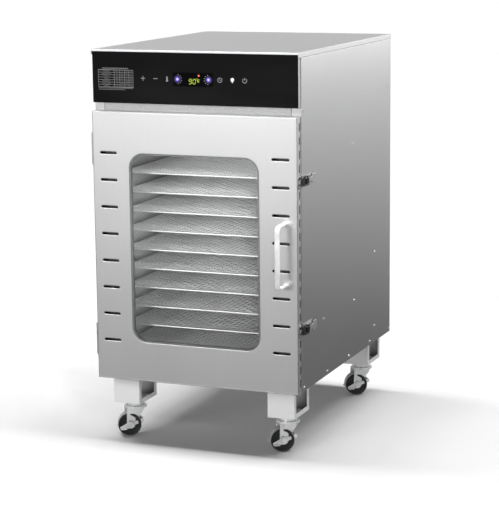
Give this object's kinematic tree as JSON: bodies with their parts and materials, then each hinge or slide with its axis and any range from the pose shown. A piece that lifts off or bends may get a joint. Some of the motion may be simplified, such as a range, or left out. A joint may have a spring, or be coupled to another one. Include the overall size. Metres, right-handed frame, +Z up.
{
  "type": "food dehydrator",
  "caption": "Upright stainless food dehydrator on braked casters, with a windowed hinged door over slide-in mesh trays and a touch panel on top.",
  "frame": {"origin": "on the floor, under the middle of the whole object with its door handle and latches", "axes": "+X to the right as seen from the front, +Y to the back, +Z up"},
  "size_m": [0.4638, 0.635, 0.814],
  "materials": {
    "brushed_stainless": "fine vertical brushing",
    "liner_stainless": "plain cold-rolled sheet",
    "control_case": "fine brushing",
    "black_glass": "black back-painted glass, polished",
    "window_glass": "clear tempered glass",
    "circuit_board": "solder mask",
    "inlet_plastic": "moulded black plastic",
    "bright_rivet": "polished stainless",
    "hinge_steel": "satin",
    "latch_steel": "polished stainless",
    "latch_black": "black coating",
    "leg_steel": "light satin sheet",
    "caster_zinc": "bright zinc plate",
    "caster_wheel": "black moulded tread",
    "gasket_rubber": "matt silicone rubber",
    "handle_white": "white satin coat",
    "motor_paint": "grey paint",
    "heater_sheath": "heat-tinted sheath",
    "fan_aluminium": "mill finish",
    "tray_stainless": "woven stainless wire in a rolled rim"
  },
  "bodies": {
    "cabinet": {"top_cover": "brushed_stainless", "left_side_panel": "brushed_stainless", "right_side_panel": "brushed_stainless", "back_panel": "brushed_stainless", "bottom_panel": "brushed_stainless", "front_frame": "brushed_stainless", "chamber_liner": "liner_stainless", "tray_runners": "liner_stainless", "air_baffle": "liner_stainless", "fan_bracket": "liner_stainless", "fan_motors": "motor_paint", "heating_elements": "heater_sheath", "control_box": "control_case", "control_glass": "black_glass", "display_module": "circuit_board", "power_inlet": "inlet_plastic", "panel_rivets": "bright_rivet", "hinge_cabinet_leaves": "hinge_steel", "latch_bases": "latch_steel", "legs": "leg_steel", "caster_mounts": "caster_zinc"},
    "door": {"door_skin": "brushed_stainless", "door_liner": "liner_stainless", "door_glass": "window_glass", "window_gasket": "gasket_rubber", "door_seal": "gasket_rubber", "door_handle": "handle_white", "handle_screws": "bright_rivet", "hinge_door_leaves": "hinge_steel", "latch_keepers": "latch_steel"},
    "latch_lever_lower": {"latch_lever_lower": "latch_black"},
    "latch_bail_lower": {"latch_bail_lower": "latch_black"},
    "latch_lever_upper": {"latch_lever_upper": "latch_black"},
    "latch_bail_upper": {"latch_bail_upper": "latch_black"},
    "fan_lower": {"fan_lower": "fan_aluminium"},
    "fan_upper": {"fan_upper": "fan_aluminium"},
    "caster_front_left": {"caster_fork_front_left": "caster_zinc"},
    "wheel_front_left": {"caster_wheel_front_left": "caster_wheel"},
    "brake_front_left": {"caster_brake_front_left": "caster_zinc"},
    "caster_front_right": {"caster_fork_front_right": "caster_zinc"},
    "wheel_front_right": {"caster_wheel_front_right": "caster_wheel"},
    "brake_front_right": {"caster_brake_front_right": "caster_zinc"},
    "caster_rear_left": {"caster_fork_rear_left": "caster_zinc"},
    "wheel_rear_left": {"caster_wheel_rear_left": "caster_wheel"},
    "brake_rear_left": {"caster_brake_rear_left": "caster_zinc"},
    "caster_rear_right": {"caster_fork_rear_right": "caster_zinc"},
    "wheel_rear_right": {"caster_wheel_rear_right": "caster_wheel"},
    "brake_rear_right": {"caster_brake_rear_right": "caster_zinc"},
    "tray_01": {"tray_01": "tray_stainless"},
    "tray_02": {"tray_02": "tray_stainless"},
    "tray_03": {"tray_03": "tray_stainless"},
    "tray_04": {"tray_04": "tray_stainless"},
    "tray_05": {"tray_05": "tray_stainless"},
    "tray_06": {"tray_06": "tray_stainless"},
    "tray_07": {"tray_07": "tray_stainless"},
    "tray_08": {"tray_08": "tray_stainless"},
    "tray_09": {"tray_09": "tray_stainless"},
    "tray_10": {"tray_10": "tray_stainless"},
    "tray_11": {"tray_11": "tray_stainless"},
    "tray_12": {"tray_12": "tray_stainless"}
  },
  "joints": [
    {"name": "door_swing", "type": "hinge", "parent": "cabinet", "child": "door", "pos_m": [-0.228, -0.258, 0.413], "axis": [0, 0, -1], "range_deg": [0, 180]},
    {"name": "latch_lower_release", "type": "hinge", "parent": "cabinet", "child": "latch_lever_lower", "pos_m": [0.2277, -0.2495, 0.265], "axis": [0, 0, -1], "range_deg": [0, 150]},
    {"name": "latch_lower_bail_pivot", "type": "hinge", "parent": "latch_lever_lower", "child": "latch_bail_lower", "pos_m": [0.2277, -0.2415, 0.265], "axis": [0, 0, -1], "range_deg": [-150, 0]},
    {"name": "latch_upper_release", "type": "hinge", "parent": "cabinet", "child": "latch_lever_upper", "pos_m": [0.2277, -0.2495, 0.563], "axis": [0, 0, -1], "range_deg": [0, 150]},
    {"name": "latch_upper_bail_pivot", "type": "hinge", "parent": "latch_lever_upper", "child": "latch_bail_upper", "pos_m": [0.2277, -0.2415, 0.563], "axis": [0, 0, -1], "range_deg": [-150, 0]},
    {"name": "fan_lower_spin", "type": "hinge", "parent": "cabinet", "child": "fan_lower", "pos_m": [0, 0.2005, 0.31], "axis": [0, 1, 0], "continuous": true},
    {"name": "fan_upper_spin", "type": "hinge", "parent": "cabinet", "child": "fan_upper", "pos_m": [0, 0.2005, 0.54], "axis": [0, 1, 0], "continuous": true},
    {"name": "front_left_swivel", "type": "hinge", "parent": "cabinet", "child": "caster_front_left", "pos_m": [-0.172, -0.2065, 0.062], "axis": [0, 0, 1], "continuous": true},
    {"name": "front_left_roll", "type": "hinge", "parent": "caster_front_left", "child": "wheel_front_left", "pos_m": [-0.18303, -0.21512, 0.025], "axis": [0.6157, -0.788, 0], "continuous": true},
    {"name": "front_left_brake", "type": "hinge", "parent": "caster_front_left", "child": "brake_front_left", "pos_m": [-0.18303, -0.21512, 0.025], "axis": [0.6157, -0.788, 0], "range_deg": [0, 15]},
    {"name": "front_right_swivel", "type": "hinge", "parent": "cabinet", "child": "caster_front_right", "pos_m": [0.172, -0.2065, 0.062], "axis": [0, 0, 1], "continuous": true},
    {"name": "front_right_roll", "type": "hinge", "parent": "caster_front_right", "child": "wheel_front_right", "pos_m": [0.16097, -0.21512, 0.025], "axis": [0.6157, -0.788, 0], "continuous": true},
    {"name": "front_right_brake", "type": "hinge", "parent": "caster_front_right", "child": "brake_front_right", "pos_m": [0.16097, -0.21512, 0.025], "axis": [0.6157, -0.788, 0], "range_deg": [0, 15]},
    {"name": "rear_left_swivel", "type": "hinge", "parent": "cabinet", "child": "caster_rear_left", "pos_m": [-0.172, 0.265, 0.062], "axis": [0, 0, 1], "continuous": true},
    {"name": "rear_left_roll", "type": "hinge", "parent": "caster_rear_left", "child": "wheel_rear_left", "pos_m": [-0.18303, 0.25638, 0.025], "axis": [0.6157, -0.788, 0], "continuous": true},
    {"name": "rear_left_brake", "type": "hinge", "parent": "caster_rear_left", "child": "brake_rear_left", "pos_m": [-0.18303, 0.25638, 0.025], "axis": [0.6157, -0.788, 0], "range_deg": [0, 15]},
    {"name": "rear_right_swivel", "type": "hinge", "parent": "cabinet", "child": "caster_rear_right", "pos_m": [0.172, 0.265, 0.062], "axis": [0, 0, 1], "continuous": true},
    {"name": "rear_right_roll", "type": "hinge", "parent": "caster_rear_right", "child": "wheel_rear_right", "pos_m": [0.16097, 0.25638, 0.025], "axis": [0.6157, -0.788, 0], "continuous": true},
    {"name": "rear_right_brake", "type": "hinge", "parent": "caster_rear_right", "child": "brake_rear_right", "pos_m": [0.16097, 0.25638, 0.025], "axis": [0.6157, -0.788, 0], "range_deg": [0, 15]},
    {"name": "tray_01_slide", "type": "slide", "parent": "cabinet", "child": "tray_01", "axis": [0, -1, 0], "range_m": [0, 0.018]},
    {"name": "tray_02_slide", "type": "slide", "parent": "cabinet", "child": "tray_02", "axis": [0, -1, 0], "range_m": [0, 0.018]},
    {"name": "tray_03_slide", "type": "slide", "parent": "cabinet", "child": "tray_03", "axis": [0, -1, 0], "range_m": [0, 0.018]},
    {"name": "tray_04_slide", "type": "slide", "parent": "cabinet", "child": "tray_04", "axis": [0, -1, 0], "range_m": [0, 0.018]},
    {"name": "tray_05_slide", "type": "slide", "parent": "cabinet", "child": "tray_05", "axis": [0, -1, 0], "range_m": [0, 0.018]},
    {"name": "tray_06_slide", "type": "slide", "parent": "cabinet", "child": "tray_06", "axis": [0, -1, 0], "range_m": [0, 0.018]},
    {"name": "tray_07_slide", "type": "slide", "parent": "cabinet", "child": "tray_07", "axis": [0, -1, 0], "range_m": [0, 0.018]},
    {"name": "tray_08_slide", "type": "slide", "parent": "cabinet", "child": "tray_08", "axis": [0, -1, 0], "range_m": [0, 0.018]},
    {"name": "tray_09_slide", "type": "slide", "parent": "cabinet", "child": "tray_09", "axis": [0, -1, 0], "range_m": [0, 0.018]},
    {"name": "tray_10_slide", "type": "slide", "parent": "cabinet", "child": "tray_10", "axis": [0, -1, 0], "range_m": [0, 0.018]},
    {"name": "tray_11_slide", "type": "slide", "parent": "cabinet", "child": "tray_11", "axis": [0, -1, 0], "range_m": [0, 0.018]},
    {"name": "tray_12_slide", "type": "slide", "parent": "cabinet", "child": "tray_12", "axis": [0, -1, 0], "range_m": [0, 0.018]}
  ],
  "couplings": [
    {"joint": "latch_lower_bail_pivot", "follows": "latch_lower_release", "ratio": -1},
    {"joint": "latch_upper_bail_pivot", "follows": "latch_upper_release", "ratio": -1}
  ]
}
